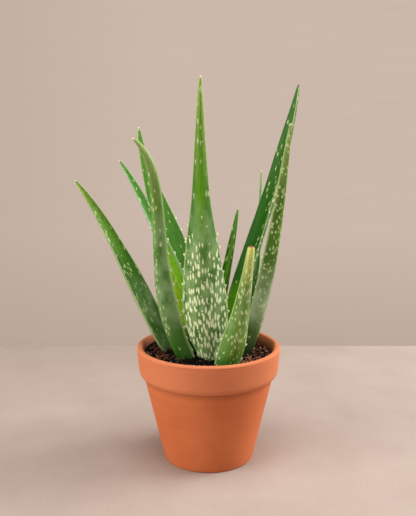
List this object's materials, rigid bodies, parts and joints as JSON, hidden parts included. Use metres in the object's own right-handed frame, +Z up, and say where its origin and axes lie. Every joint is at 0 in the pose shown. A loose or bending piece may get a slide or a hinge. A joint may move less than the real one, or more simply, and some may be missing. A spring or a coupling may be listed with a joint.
{
  "type": "potted aloe plant",
  "caption": "Young aloe with slender, toothed, pale-spotted leaves rising from dark soil in a flared terracotta pot with a broad rolled rim.",
  "frame": {"origin": "centre of the whole plant's footprint box, on the surface that the pot stands on; the pot's own axis is the line X = 0.0175, Y = 0", "axes": "+Z up, along the pot's axis; -Y is the front, where the tallest leaf shows its back; +X is to the right as seen from the front"},
  "size_m": [0.2002, 0.13, 0.339],
  "materials": {
    "terracotta": "unglazed, matte",
    "potting_soil": "loose peat and bark",
    "stem": "fleshy, matte",
    "aloe_leaf": "waxy skin, satin"
  },
  "bodies": {
    "root": {"pot": "terracotta", "potting_soil": "potting_soil", "stem": "stem", "leaf_front_centre": "aloe_leaf", "leaf_far_left": "aloe_leaf", "leaf_front_left": "aloe_leaf", "leaf_back_left_short": "aloe_leaf", "leaf_back_left_tall": "aloe_leaf", "leaf_inner_left": "aloe_leaf", "leaf_back_right_small": "aloe_leaf", "leaf_back_right_tall": "aloe_leaf", "leaf_front_right_tall": "aloe_leaf", "leaf_back_right_thin": "aloe_leaf", "leaf_front_right_short": "aloe_leaf"}
  },
  "joints": []
}
